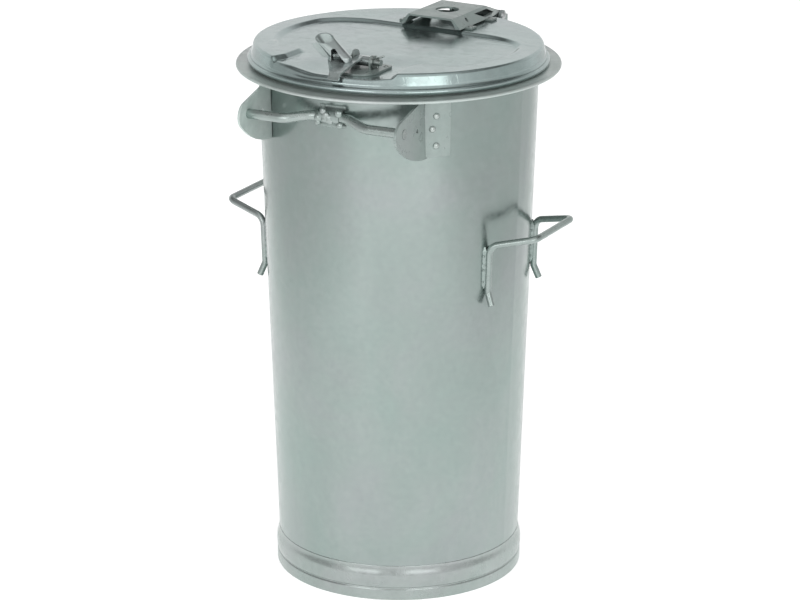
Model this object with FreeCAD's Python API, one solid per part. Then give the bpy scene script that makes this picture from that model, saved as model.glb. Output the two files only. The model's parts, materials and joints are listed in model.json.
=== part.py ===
"""Round lidded steel bin, hot-dip galvanised, with a hinged lid and a lever latch.

Millimetres. The origin is the centre of the foot ring on the floor, +Z is up, the latch
and the pick-up bar are at the front (-Y), the lid hinge is at the back (+Y) and the two
hand handles are at the sides (+X and -X).
"""
import FreeCAD, Part
import math
import os
from FreeCAD import Rotation, Vector

# Sheet thicknesses
SHEET = 1.2
PLATE = 2.5
CHEEK_PLATE = 3.0

# Rivets through sheet
RIVET_HEAD_R = 3.6
RIVET_HEAD_H = 1.7
RIVET_SHANK_R = 2.2
RIVET_TAIL = 1.5
CHEEK_RIVET_HEAD_R = 4.2
CHEEK_RIVET_HEAD_H = 2.2
CHEEK_RIVET_SHANK_R = 2.5

# Conical wall
WALL_FOOT_R = 152.5
WALL_TAPER = 0.034
WALL_BOTTOM_Z = 14.0
MOUTH_Z = 664.0
MOUTH_CURL_R = 2.4
MOUTH_CURL_OUT = 0.3

# Foot ring
FOOT_BAND_R = 157.0
FOOT_BEAD_R = 157.5
FOOT_GROOVE_Z = 15.5
FOOT_GROOVE_DEPTH = 1.0
FOOT_GROOVE_BELOW = 1.6
FOOT_GROOVE_ABOVE = 1.8
FOOT_LAND = 0.3
FOOT_ROUND_R = 0.6
FOOT_ROUND_Z = 0.8
FOOT_BEAD_Z = 26.0
FOOT_BEAD_END_OUT = 1.6
FOOT_BEAD_END_DROP = 5.0
FOOT_HEM_Z = 10.0
FOOT_RING_TOP_Z = 45.0
FOOT_HEM = 3.2

# Base
BASE_EDGE_Z = 21.5
BASE_DOME = 4.5
BASE_FLAT_R = 145.0
BASE_TURN_DOWN = 3.5
BASE_TURN_DOWN_INSIDE = 4.2
BASE_FOOT_RISE = 0.5

# Collar
COLLAR_TOP_Z = 657.9
COLLAR_THICKNESS = 2.0
COLLAR_R = 202.0
COLLAR_HEM_R = 1.7
COLLAR_WELD = 2.5

# Lid
LID_TOP_Z = 683.5
LID_EDGE_R = 180.2
LID_CORNER = 2.5
LID_SKIRT_R = 184.6
LID_BEAD_Z = 662.0
LID_BEAD_R = 3.4
LID_BEAD_LAP = 0.2
LID_FLOOR_Z = 678.5
RECESS_R = 151.0
RECESS_BACK_Y = 80.0
RECESS_FRONT_Y = -91.0
RECESS_BACK_CORNER = 38.0
RECESS_FRONT_CORNER = 14.0
CHANNEL_HALF = 78.0
CHANNEL_MOUTH_HALF = 98.0
CHANNEL_FLARE_Y = -138.0

# Hinge
PIN_Y = 203.0
PIN_Z = 678.0
PIN_R = 4.0
KNUCKLE_R = 6.5
RUNNING_GAP = 0.08
HAT_TOP_Z = 698.0
HAT_FRONT_Y = 79.0
HAT_BACK_Y = 165.0
HAT_TOP_HALF = 31.5
HAT_FOOT_HALF = 43.0
HAT_FOOT_Z = 685.2
HAT_HOLE_R = 15.0
HAT_HOLE_Y = 123.0
HAT_SMALL_HOLE = (107.0, 692.0)
HAT_SMALL_HOLE_R = 2.6
HAT_SIDE_INSET = 0.6
HAT_FOOT_INSET = 1.35
HAT_BACK_INSET = 0.4
HAT_TAIL_LAP = 1.5
HAT_TAIL_RISE = 0.3
HAT_TAIL_SPREAD = 0.6
HAT_WINDOW = [(131.0, 694.6), (163.0, 694.6), (180.0, 687.4), (148.0, 687.4)]
EAR_IN_X = 34.0
EAR_THICKNESS = 3.5
EAR_R = 7.0
EAR_LAP = 1.0
WEB_Y = 212.6
WEB_BELOW_PIN = 1.5
BRACKET_FRONT_Y = 180.0
BRACKET_ROOM_H = 8.0
HINGE_PIN_HEAD_R = 5.6
HINGE_PIN_HEAD_H = 3.0
BRACKET_RIVET_X = 22.0
BRACKET_RIVET_Y = 194.0
TAB_X = 47.0
TAB_Y = (99.0, 152.0)
TAB_HALF = 7.0
TAB_INWARD = 6.5
TAB_OUTWARD = 5.0

# Side handles, which sit a little round from the sides; the right one is the higher
HANDLE_ROD_R = 4.2
HANDLE_TURN = 2.0
HANDLE_ROOT_ANGLE = 22.0
HANDLE_RIGHT_BEND_Z = 458.0
HANDLE_LEFT_BEND_Z = 450.0
HANDLE_GRIP_X = 216.5
HANDLE_GRIP_HALF_Y = 51.5
HANDLE_GRIP_RISE = 13.0
HANDLE_TAIL = 59.0
HANDLE_END = 16.5
HANDLE_END_OUT = 7.5
HANDLE_BEND_RADII = [10.0, 14.0, 12.0, 12.0, 14.0, 10.0]

# Pick-up bar and its cheeks, which sit a little round from the latch
BAR_TURN = 3.0
BAR_R = 6.0
BAR_MID_Z = 629.0
BAR_SIDE_Z = 624.5
BAR_OUT_Y = -195.5
BAR_KNEE_X = 54.0
BAR_REST_X = 24.0
BAR_BEND_R = 30.0
BAR_END_PROUD = 0.6
CHEEK_IN_X = 104.0
CHEEK_TOP_Z = 652.0
CHEEK_NOSE_Y = -200.5
CHEEK_NOSE_Z = 623.0
CHEEK_NOSE_R = 17.0
CHEEK_NOSE_LOW = (-0.55, -0.835)
CHEEK_TOP_Y = -156.0
CHEEK_BACK_Y = -120.0
CHEEK_BELLY = (-180.0, 589.5)
CHEEK_FOOT_Y = -140.0
CHEEK_FOOT_Z = 580.0
CHEEK_SPARE_HOLE = (-161.0, 620.0)
CHEEK_SPARE_HOLE_R = 2.6
FLANGE_ANGLE = 10.5
FLANGE_LAP = 1.0
FLANGE_FOOT_RISE = 2.0
SADDLE_WIDTH = 28.0
SADDLE_HEIGHT = 23.0
SLIP_GAP = 0.05

# Azimuth from the bar's middle and height of each rivet of the right cheek
CHEEK_RIVETS = [(41.8, 633.0), (40.2, 617.0), (41.8, 596.0)]

# Latch
LATCH_PIN_Y = -127.0
LATCH_PIN_Z = 689.0
LATCH_HUB_R = 6.0
LATCH_EAR_R = 8.0
LATCH_LEFT_EAR_X = 12.0
LATCH_LEFT_EAR_RISE = 5.0
LATCH_RIGHT_EAR_X = 36.0
LATCH_BASE_X = 20.0
LATCH_BASE_HALF = 32.0
LATCH_BASE_BACK_Y = -102.0
LATCH_BASE_FRONT_Y = -163.0
LATCH_BASE_FRONT_CORNER = 24.0
LATCH_BASE_BACK_CORNER = 6.0
LATCH_SIDE_GAP = 0.5
LATCH_RIVET_X = (-6.0, 46.0)
LATCH_RIVET_Y = -110.0
LATCH_PIN_END_X = 49.0
LATCH_PIN_HEAD_R = 6.5
LATCH_PIN_HEAD_H = 3.0
WASHER_R = 8.0
WASHER_THICKNESS = 1.6
SPLIT_PIN_X = 44.5
SPLIT_PIN_HOLE_R = 1.3
SPLIT_PIN_SHANK_R = 1.25
SPLIT_PIN_LEG_R = 1.1
SPLIT_PIN_EYE_R = 1.3
SPLIT_PIN_EYE_WIRE_R = 0.6
SPLIT_PIN_EYE_DROP = 6.0
SPLIT_PIN_SHANK_DROP = 4.7
SPLIT_PIN_SHANK_LENGTH = 10.2
SPLIT_PIN_FORK_RISE = 5.0
SPLIT_PIN_LEANS = [(7.0, 2.0, 3.2), (2.0, -6.0, 3.2)]
TONGUE_TOP = [(-127.0, 695.0), (-150.0, 691.2), (-182.5, 685.2), (-187.5, 677.3)]
TONGUE_UNDER = [(-185.3, 676.2), (-181.2, 682.8), (-149.6, 688.6), (-127.0, 692.3)]
TONGUE_LEFT_X = -12.0
TONGUE_CLEARANCE = 12.0
TONGUE_RIGHT_X = 25.0
NOSE_LEFT_X = 9.8
HORN_FOOT = (3.5, -147.0, 689.6)
HORN_FOOT_RADII = (15.7, 10.0)
HORN_SKIRT = 6.5
HORN_TIP = (-20.5, -143.0, 714.6)
HORN_TIP_R = 11.2
HORN_SHEET = 1.6
HORN_LEAN = (0.2, -0.35, 1.0)
HORN_FACING = math.radians(30.0)
HORN_MOUTH = [(-10.7, 685.0), (6.0, 685.0), (6.0, 691.0), (-7.0, 706.5), (-10.7, 704.0)]
HORN_FIN_Y = -141.0
HORN_FIN = [(-39.0, 705.0), (-30.0, 708.5), (-14.0, 708.0), (-6.0, 690.5), (-24.0, 691.5), (-39.0, 705.0)]
HEEL_RISE = 0.6
HEEL_REACH = 13.8


def wall_r(z):
    """Outer radius of the conical wall at height z."""
    return WALL_FOOT_R + WALL_TAPER * z


def on_z(points, z=0.0):
    """Closed straight-sided face through (x, y) points at height z."""
    corners = [Vector(x, y, z) for x, y in points]
    return Part.Face(Part.makePolygon(corners + corners[:1]))


def turned(points):
    """Solid of revolution about +Z of a closed outline of (radius, z) points."""
    corners = [Vector(r, 0, z) for r, z in points]
    outline = Part.Face(Part.makePolygon(corners + corners[:1]))
    return outline.revolve(Vector(0, 0, 0), Vector(0, 0, 1), 360)


def slab(x0, x1, y0, y1, z0, z1):
    """Box between two corners."""
    return Part.makeBox(x1 - x0, y1 - y0, z1 - z0, Vector(x0, y0, z0))


def rod_x(x0, x1, y, z, radius):
    """Cylinder along X."""
    return Part.makeCylinder(radius, x1 - x0, Vector(x0, y, z), Vector(1, 0, 0))


def side_plate(x0, x1, edges):
    """Plate of an outline drawn in the YZ plane, from x0 to x1."""
    face = Part.Face(Part.Wire(edges))
    face.translate(Vector(x0, 0, 0))
    return face.extrude(Vector(x1 - x0, 0, 0))


def at(y, z):
    """Point of the YZ plane."""
    return Vector(0, y, z)


def line(a, b):
    return Part.LineSegment(a, b).toShape()


def arc(a, b, c):
    return Part.Arc(a, b, c).toShape()


def outline_yz(points):
    """Closed straight-sided outline through (y, z) points."""
    corners = [at(y, z) for y, z in points]
    return [line(a, b) for a, b in zip(corners, corners[1:] + corners[:1])]


def rounded_path(points, radii):
    """Straight runs through the points, joined by tangent arcs of the given radii."""
    edges = []
    start = points[0]
    for before, corner, after, radius in zip(points, points[1:], points[2:], radii):
        back = (before - corner).normalize()
        ahead = (after - corner).normalize()
        half = back.getAngle(ahead) / 2
        reach = radius / math.tan(half)
        middle = (back + ahead).normalize()
        centre = corner + middle * (radius / math.sin(half))
        first = corner + back * reach
        last = corner + ahead * reach
        edges.append(line(start, first))
        edges.append(arc(first, centre - middle * radius, last))
        start = last
    edges.append(line(start, points[-1]))
    return Part.Wire(edges)


def bent_rod(points, radii, rod_r):
    """Round rod along a rounded path."""
    path = rounded_path(points, radii)
    heading = points[1] - points[0]
    section = Part.Wire([Part.makeCircle(rod_r, points[0], heading)])
    return path.makePipeShell([section], True, False)


def rivet(foot, axis, head_r, head_h, shank_r, shank_length):
    """Dome-head rivet: foot is the centre of the head's underside, axis points out of the head."""
    axis = Vector(axis).normalize()
    ball_r = (head_r ** 2 + head_h ** 2) / (2 * head_h)
    ball = Part.makeSphere(ball_r, foot + axis * (head_h - ball_r))
    head = ball.common(Part.makeCylinder(head_r + 1, head_h + 1, foot, axis))
    shank = Part.makeCylinder(shank_r, shank_length, foot - axis * shank_length, axis)
    return head.fuse(shank)


def sheet_rivet(x, y, z, grip):
    """Upright rivet whose head rests at height z and whose shank passes the gripped sheets."""
    head = Vector(x, y, z)
    return rivet(head, (0, 0, 1), RIVET_HEAD_R, RIVET_HEAD_H, RIVET_SHANK_R, grip + RIVET_TAIL)


def turned_about_z(shape, degrees):
    shape = shape.copy()
    shape.rotate(Vector(0, 0, 0), Vector(0, 0, 1), degrees)
    return shape


def mirrored_x(shape):
    return shape.mirror(Vector(0, 0, 0), Vector(1, 0, 0))


def wall_core():
    """Everything inside the wall's outer surface."""
    top = COLLAR_TOP_Z
    return turned([(0, 0), (wall_r(0), 0), (wall_r(top), top), (0, top)])


# ---------------------------------------------------------------- bin body

def body_shell(cutters):
    """Rolled conical wall with its mouth curled outward."""
    bottom, top = WALL_BOTTOM_Z, MOUTH_Z
    wall = turned([
        (wall_r(bottom), bottom),
        (wall_r(top), top),
        (wall_r(top) - SHEET, top),
        (wall_r(bottom) - SHEET, bottom),
    ])
    curl = Part.makeTorus(wall_r(top) + MOUTH_CURL_OUT, MOUTH_CURL_R, Vector(0, 0, top))
    return wall.fuse(curl).cut(cutters)


def base_disc():
    """Domed bottom whose edge is turned down inside the wall."""
    edge_r = wall_r(BASE_EDGE_Z - BASE_TURN_DOWN) - SHEET
    foot_z = WALL_BOTTOM_Z + BASE_FOOT_RISE
    foot_r = wall_r(foot_z) - SHEET
    top = Part.Arc(
        Vector(0, 0, BASE_EDGE_Z + BASE_DOME),
        Vector(BASE_FLAT_R / 2, 0, BASE_EDGE_Z + BASE_DOME * 0.75),
        Vector(BASE_FLAT_R, 0, BASE_EDGE_Z),
    ).toShape()
    under = top.copy()
    under.translate(Vector(0, 0, -SHEET))
    rim = [
        Vector(BASE_FLAT_R, 0, BASE_EDGE_Z),
        Vector(edge_r, 0, BASE_EDGE_Z - BASE_TURN_DOWN),
        Vector(foot_r, 0, foot_z),
        Vector(foot_r - SHEET, 0, foot_z),
        Vector(edge_r - SHEET, 0, BASE_EDGE_Z - BASE_TURN_DOWN_INSIDE),
        Vector(BASE_FLAT_R, 0, BASE_EDGE_Z - SHEET),
    ]
    edges = [line(a, b) for a, b in zip(rim, rim[1:])]
    centre = line(
        Vector(0, 0, BASE_EDGE_Z + BASE_DOME - SHEET),
        Vector(0, 0, BASE_EDGE_Z + BASE_DOME),
    )
    face = Part.Face(Part.Wire(Part.__sortEdges__([top, under, centre] + edges)))
    return face.revolve(Vector(0, 0, 0), Vector(0, 0, 1), 360)


def foot_ring():
    """Hoop round the bottom edge: plain band, groove, then a bead that dies into the wall."""
    hem_r = FOOT_BAND_R - FOOT_HEM
    groove_r = FOOT_BAND_R - FOOT_GROOVE_DEPTH
    land_r = FOOT_BAND_R - FOOT_LAND
    low = FOOT_GROOVE_Z - FOOT_GROOVE_BELOW
    high = FOOT_GROOVE_Z + FOOT_GROOVE_ABOVE
    wall_top_r = wall_r(FOOT_RING_TOP_Z)
    bead_end = Vector(wall_top_r + FOOT_BEAD_END_OUT, 0, FOOT_RING_TOP_Z - FOOT_BEAD_END_DROP)
    round_start = Vector(FOOT_BAND_R - FOOT_ROUND_R, 0, 0)
    round_middle = Vector(FOOT_BAND_R - FOOT_ROUND_R / 4, 0, FOOT_ROUND_Z / 4)
    round_end = Vector(FOOT_BAND_R, 0, FOOT_ROUND_Z)
    groove_start = Vector(FOOT_BAND_R, 0, low)
    groove_end = Vector(land_r, 0, high)
    lip = Vector(wall_top_r + FOOT_LAND, 0, FOOT_RING_TOP_Z)
    wall_top = Vector(wall_top_r, 0, FOOT_RING_TOP_Z)
    wall_bottom = Vector(wall_r(WALL_BOTTOM_Z), 0, WALL_BOTTOM_Z)
    hem_top = Vector(hem_r, 0, FOOT_HEM_Z)
    hem_bottom = Vector(hem_r, 0, 0)
    edges = [
        line(hem_bottom, round_start),
        arc(round_start, round_middle, round_end),
        line(round_end, groove_start),
        arc(groove_start, Vector(groove_r, 0, FOOT_GROOVE_Z), groove_end),
        arc(groove_end, Vector(FOOT_BEAD_R, 0, FOOT_BEAD_Z), bead_end),
        line(bead_end, lip),
        line(lip, wall_top),
        line(wall_top, wall_bottom),
        line(wall_bottom, hem_top),
        line(hem_top, hem_bottom),
    ]
    face = Part.Face(Part.Wire(edges))
    return face.revolve(Vector(0, 0, 0), Vector(0, 0, 1), 360)


def collar_hem():
    """Folded outer edge of the collar."""
    centre = Vector(0, 0, COLLAR_TOP_Z - COLLAR_THICKNESS / 2)
    return Part.makeTorus(COLLAR_R - COLLAR_HEM_R, COLLAR_HEM_R, centre)


def rim_collar(cutters):
    """Flat ring welded round the wall just under the mouth, its outer edge folded over."""
    under = COLLAR_TOP_Z - COLLAR_THICKNESS
    weld_z = under - COLLAR_WELD
    hem_r = COLLAR_R - COLLAR_HEM_R
    ring = turned([
        (wall_r(weld_z), weld_z),
        (wall_r(under) + COLLAR_WELD, under),
        (hem_r, under),
        (hem_r, COLLAR_TOP_Z),
        (wall_r(COLLAR_TOP_Z), COLLAR_TOP_Z),
    ])
    return ring.fuse(collar_hem()).cut(cutters)


def side_handle(bend_z):
    """Handle for the +X side: one rod with both tails on the wall, splayed ends, raised grip."""
    tail_z = bend_z - HANDLE_TAIL

    def on_wall(z, side, out=0.0):
        radius = wall_r(z) + HANDLE_ROD_R + out
        angle = math.radians(HANDLE_ROOT_ANGLE) * side
        return Vector(radius * math.cos(angle), radius * math.sin(angle), z)

    def half(side):
        return [
            on_wall(tail_z - HANDLE_END, side, HANDLE_END_OUT),
            on_wall(tail_z, side),
            on_wall(bend_z, side),
            Vector(HANDLE_GRIP_X, HANDLE_GRIP_HALF_Y * side, bend_z + HANDLE_GRIP_RISE),
        ]

    return bent_rod(half(-1) + half(1)[::-1], HANDLE_BEND_RADII, HANDLE_ROD_R)


def pickup_bar():
    """Round bar bent inward so that its middle lies on the wall; its ends sit in the cheeks."""
    middle_y = -(wall_r(BAR_MID_Z) + BAR_R)
    end_x = CHEEK_IN_X + CHEEK_PLATE + BAR_END_PROUD

    def half(side):
        return [
            Vector(side * end_x, BAR_OUT_Y, BAR_SIDE_Z),
            Vector(side * BAR_KNEE_X, BAR_OUT_Y, BAR_SIDE_Z),
            Vector(side * BAR_REST_X, middle_y, BAR_MID_Z),
        ]

    points = half(-1) + half(1)[::-1]
    bar = bent_rod(points, [BAR_BEND_R] * 4, BAR_R)
    return turned_about_z(bar, BAR_TURN)


def bar_saddle():
    """Pressed strap over the bar's middle, its two lips welded to the wall."""
    wall_y = -wall_r(BAR_MID_Z)
    centre_y = wall_y - BAR_R
    inner_r = BAR_R + SLIP_GAP
    over_r = inner_r + SHEET
    half = SADDLE_WIDTH / 2
    hump = rod_x(-half, half, centre_y, BAR_MID_Z, over_r)
    lips = slab(
        -half, half, wall_y - SHEET, wall_y,
        BAR_MID_Z - SADDLE_HEIGHT / 2, BAR_MID_Z + SADDLE_HEIGHT / 2,
    )
    shoulder = slab(-half, half, centre_y, wall_y, BAR_MID_Z - over_r, BAR_MID_Z + over_r)
    inside = slab(
        -half - 1, half + 1, centre_y, wall_y + 5,
        BAR_MID_Z - inner_r, BAR_MID_Z + inner_r,
    )
    bore = rod_x(-half - 1, half + 1, centre_y, BAR_MID_Z, inner_r)
    strap = hump.fuse(shoulder).fuse(lips).cut(inside).cut(bore).cut(wall_core())
    return turned_about_z(strap, BAR_TURN)


def cheek_rivet(azimuth, z):
    """Rivet that stands square to the cheek's foot flange."""
    angle = math.radians(azimuth)
    out = Vector(math.sin(angle), -math.cos(angle), -WALL_TAPER)
    radius = wall_r(z) + CHEEK_PLATE
    foot = Vector(radius * math.sin(angle), -radius * math.cos(angle), z)
    length = CHEEK_PLATE + SHEET + RIVET_TAIL
    return rivet(foot, out, CHEEK_RIVET_HEAD_R, CHEEK_RIVET_HEAD_H, CHEEK_RIVET_SHANK_R, length)


def cheek_outline():
    """D shape: straight front edge down to a round nose, then a full curve back to the wall."""
    nose = at(CHEEK_NOSE_Y, CHEEK_NOSE_Z)
    top = at(CHEEK_TOP_Y, CHEEK_TOP_Z)
    foot = at(CHEEK_FOOT_Y, CHEEK_FOOT_Z)
    back_top = at(CHEEK_BACK_Y, CHEEK_TOP_Z)
    back_low = at(CHEEK_BACK_Y, CHEEK_FOOT_Z)
    to_top = top - nose
    reach = to_top.Length
    turn = math.acos(CHEEK_NOSE_R / reach)
    heading = math.atan2(to_top.z, to_top.y) + turn
    touch = nose + at(math.cos(heading), math.sin(heading)) * CHEEK_NOSE_R
    tip = nose + at(-1, 0) * CHEEK_NOSE_R
    low = nose + at(*CHEEK_NOSE_LOW) * CHEEK_NOSE_R
    return [
        line(back_top, top),
        line(top, touch),
        arc(touch, tip, low),
        arc(low, at(*CHEEK_BELLY), foot),
        line(foot, back_low),
        line(back_low, back_top),
    ]


def bar_cheek():
    """Right cheek: D-shaped plate that carries the bar, with a foot flange on the wall."""
    plate = side_plate(CHEEK_IN_X, CHEEK_IN_X + CHEEK_PLATE, cheek_outline())
    plate = plate.cut(wall_core())
    start = math.degrees(math.asin((CHEEK_IN_X + FLANGE_LAP) / wall_r(CHEEK_NOSE_Z)))
    low, high = CHEEK_FOOT_Z + FLANGE_FOOT_RISE, CHEEK_TOP_Z
    corners = [
        Vector(wall_r(low), 0, low),
        Vector(wall_r(low) + CHEEK_PLATE, 0, low),
        Vector(wall_r(high) + CHEEK_PLATE, 0, high),
        Vector(wall_r(high), 0, high),
    ]
    section = Part.Face(Part.makePolygon(corners + corners[:1]))
    flange = section.revolve(Vector(0, 0, 0), Vector(0, 0, 1), FLANGE_ANGLE)
    flange = turned_about_z(flange, start - 90)
    cheek = plate.fuse(flange).removeSplitter()
    left, right = CHEEK_IN_X - 1, CHEEK_IN_X + CHEEK_PLATE + 1
    bore = rod_x(left, right, BAR_OUT_Y, BAR_SIDE_Z, BAR_R)
    spare = rod_x(left, right, *CHEEK_SPARE_HOLE, CHEEK_SPARE_HOLE_R)
    cheek = cheek.cut([bore, spare])
    holes = [cheek_rivet(azimuth, z) for azimuth, z in CHEEK_RIVETS]
    return cheek.cut(holes)


def hinge_bracket():
    """Bracket under the collar's back edge: base, two ears for the pin, and a rear web."""
    top = COLLAR_TOP_Z - COLLAR_THICKNESS
    outer = EAR_IN_X + EAR_THICKNESS
    base = slab(-outer, outer, BRACKET_FRONT_Y, WEB_Y + PLATE, top - PLATE, top)
    web = slab(-outer, outer, WEB_Y, WEB_Y + PLATE, top - PLATE, PIN_Z - WEB_BELOW_PIN)
    bracket = base.fuse(web)
    for x0 in (-outer, EAR_IN_X):
        ear = slab(x0, x0 + EAR_THICKNESS, COLLAR_R - EAR_LAP, WEB_Y + PLATE, top - PLATE, PIN_Z)
        ear = ear.fuse(rod_x(x0, x0 + EAR_THICKNESS, PIN_Y, PIN_Z, EAR_R))
        bracket = bracket.fuse(ear)
    room = Part.makeCylinder(COLLAR_R + SLIP_GAP, BRACKET_ROOM_H, Vector(0, 0, top))
    hem = collar_hem()
    bore = rod_x(-outer - 1, outer + 1, PIN_Y, PIN_Z, PIN_R)
    return bracket.cut([room, hem, bore]).cut(wall_core()).removeSplitter()


def hinge_bracket_rivet_shapes():
    """Two rivets that fix the bracket to the collar."""
    return [
        sheet_rivet(x, BRACKET_RIVET_Y, COLLAR_TOP_Z, COLLAR_THICKNESS + PLATE)
        for x in (-BRACKET_RIVET_X, BRACKET_RIVET_X)
    ]


def hinge_pin():
    """Pin with a head at each end, fixed in the bracket's ears."""
    outer = EAR_IN_X + EAR_THICKNESS
    pin = rod_x(-outer, outer, PIN_Y, PIN_Z, PIN_R)
    for side in (-1, 1):
        foot = Vector(side * outer, PIN_Y, PIN_Z)
        head = rivet(foot, (side, 0, 0), HINGE_PIN_HEAD_R, HINGE_PIN_HEAD_H, PIN_R, 1.0)
        pin = pin.fuse(head)
    return pin


# --------------------------------------------------------------------- lid

def recess_face():
    """Plan of the sunk floor: round, cut straight at the back, with a channel to the front."""
    disc = Part.makeCylinder(RECESS_R, 1)
    middle = disc.common(slab(-200, 200, RECESS_FRONT_Y, RECESS_BACK_Y, 0, 1))
    channel = on_z([
        (-CHANNEL_MOUTH_HALF, -200),
        (CHANNEL_MOUTH_HALF, -200),
        (CHANNEL_HALF, CHANNEL_FLARE_Y),
        (CHANNEL_HALF, RECESS_FRONT_Y + 30),
        (-CHANNEL_HALF, RECESS_FRONT_Y + 30),
        (-CHANNEL_HALF, CHANNEL_FLARE_Y),
    ]).extrude(Vector(0, 0, 1))
    block = middle.fuse(channel).removeSplitter()
    block = block.makeFillet(RECESS_BACK_CORNER, uprights_near(block, RECESS_BACK_Y))
    block = block.makeFillet(RECESS_FRONT_CORNER, uprights_near(block, RECESS_FRONT_Y))
    return [face for face in block.Faces if face.CenterOfMass.z < 0.01][0]


def uprights_near(shape, y):
    """Vertical edges of a shape that stand near the line at y."""
    return [e for e in shape.Edges if is_upright(e) and abs(e.Vertexes[0].Point.y - y) < 5]


def recess_cutter(floor_z, grow):
    """Room above the sunk floor, grown sideways by the sheet where the underside is cut."""
    face = recess_face()
    if grow:
        face = face.makeOffset2D(grow)
    block = face.extrude(Vector(0, 0, 20))
    block.translate(Vector(0, 0, floor_z))
    return block


def lid_panel(cutters):
    """Pressed lid: flat top with a sunk floor, sloping skirt and a rolled edge."""
    slope = (LID_SKIRT_R - LID_EDGE_R) / (LID_TOP_Z - LID_BEAD_Z)
    outer = turned([
        (0, LID_BEAD_Z),
        (LID_SKIRT_R, LID_BEAD_Z),
        (LID_EDGE_R + slope * LID_CORNER, LID_TOP_Z - LID_CORNER),
        (LID_EDGE_R - LID_CORNER, LID_TOP_Z),
        (0, LID_TOP_Z),
    ])
    inner = turned([
        (0, LID_BEAD_Z - 2),
        (LID_SKIRT_R - SHEET + 0.4, LID_BEAD_Z - 2),
        (LID_EDGE_R + slope * LID_CORNER - SHEET, LID_TOP_Z - LID_CORNER - SHEET / 2),
        (LID_EDGE_R - LID_CORNER - SHEET / 2, LID_TOP_Z - SHEET),
        (0, LID_TOP_Z - SHEET),
    ])
    sunk = recess_cutter(LID_FLOOR_Z, 0.0)
    under = recess_cutter(LID_FLOOR_Z - SHEET, SHEET)
    panel = outer.cut(sunk).cut(inner.cut(under))
    bead = Part.makeTorus(LID_SKIRT_R - LID_BEAD_LAP, LID_BEAD_R, Vector(0, 0, LID_BEAD_Z))
    return panel.fuse(bead).cut(cutters)


def hat_loft(inset, foot_z, tail_foot_z):
    """Hat section along the lid that narrows in height down to the knuckle."""
    top = HAT_TOP_Z - inset
    half = HAT_TOP_HALF - inset * HAT_SIDE_INSET
    foot = HAT_FOOT_HALF - inset * HAT_FOOT_INSET
    tail_y = PIN_Y - HAT_TAIL_LAP
    tail_top = PIN_Z + KNUCKLE_R + HAT_TAIL_RISE - inset

    def section(y, z_top, half_top, z_foot, half_foot):
        corners = [
            Vector(-half_top, y, z_top),
            Vector(half_top, y, z_top),
            Vector(half_foot, y, z_foot),
            Vector(-half_foot, y, z_foot),
        ]
        return Part.makePolygon(corners + corners[:1])

    start = HAT_FRONT_Y - (1 if inset else 0)
    sections = [
        section(start, top, half, foot_z, foot),
        section(HAT_BACK_Y - inset * HAT_BACK_INSET, top, half, foot_z, foot),
        section(tail_y, tail_top, half, tail_foot_z, half + HAT_TAIL_SPREAD),
    ]
    first = Part.makeLoft(sections[:2], True, True)
    second = Part.makeLoft(sections[1:], True, True)
    return first.fuse(second)


def hinge_plate(cutters):
    """Folded hat plate with foot tabs and a rolled knuckle that turns on the hinge pin."""
    outer = hat_loft(0.0, HAT_FOOT_Z, PIN_Z + KNUCKLE_R - PLATE)
    inner = hat_loft(PLATE, HAT_FOOT_Z - 4, PIN_Z - 4)
    knuckle_half = HAT_TOP_HALF
    roll = rod_x(-knuckle_half, knuckle_half, PIN_Y, PIN_Z, KNUCKLE_R)
    plate = outer.cut(inner).fuse(roll)
    for side in (-1, 1):
        for y in TAB_Y:
            ends = sorted([side * (TAB_X - TAB_INWARD), side * (TAB_X + TAB_OUTWARD)])
            tab = slab(*ends, y - TAB_HALF, y + TAB_HALF, LID_TOP_Z, LID_TOP_Z + PLATE)
            plate = plate.fuse(tab)
    bore = rod_x(-knuckle_half - 1, knuckle_half + 1, PIN_Y, PIN_Z, PIN_R + RUNNING_GAP)
    hole = Part.makeCylinder(HAT_HOLE_R, 12, Vector(0, HAT_HOLE_Y, HAT_TOP_Z - 8))
    window = side_plate(-60, 60, outline_yz(HAT_WINDOW))
    small = rod_x(-60, 60, *HAT_SMALL_HOLE, HAT_SMALL_HOLE_R)
    return plate.cut([bore, hole, window, small]).cut(cutters).removeSplitter()


def hinge_plate_rivet_shapes():
    """A rivet through each foot tab of the hinge plate."""
    return [
        sheet_rivet(x, y, LID_TOP_Z + PLATE, PLATE + SHEET)
        for x in (-TAB_X, TAB_X)
        for y in TAB_Y
    ]


def latch_bracket(cutters):
    """Base plate with a rounded front and two ears that hold the latch pin."""
    z0 = LID_FLOOR_Z
    left, right = LATCH_BASE_X - LATCH_BASE_HALF, LATCH_BASE_X + LATCH_BASE_HALF
    base = slab(left, right, LATCH_BASE_FRONT_Y, LATCH_BASE_BACK_Y, z0, z0 + PLATE)
    base = base.makeFillet(LATCH_BASE_FRONT_CORNER, uprights_near(base, LATCH_BASE_FRONT_Y))
    bracket = base.makeFillet(LATCH_BASE_BACK_CORNER, uprights_near(base, LATCH_BASE_BACK_Y))
    for x0, rise in ((LATCH_LEFT_EAR_X, LATCH_LEFT_EAR_RISE), (LATCH_RIGHT_EAR_X, 0.0)):
        top_z = LATCH_PIN_Z + rise
        back_y, front_y = LATCH_PIN_Y + LATCH_EAR_R, LATCH_PIN_Y - LATCH_EAR_R
        ear = slab(x0, x0 + PLATE, front_y, back_y, z0, top_z)
        bracket = bracket.fuse(ear.fuse(rod_x(x0, x0 + PLATE, LATCH_PIN_Y, top_z, LATCH_EAR_R)))
    bore = rod_x(-20, 60, LATCH_PIN_Y, LATCH_PIN_Z, PIN_R)
    return bracket.cut(bore).cut(cutters).removeSplitter()


def is_upright(edge):
    a, b = edge.Vertexes[0].Point, edge.Vertexes[-1].Point
    return abs(a.x - b.x) + abs(a.y - b.y) < 0.01


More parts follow.
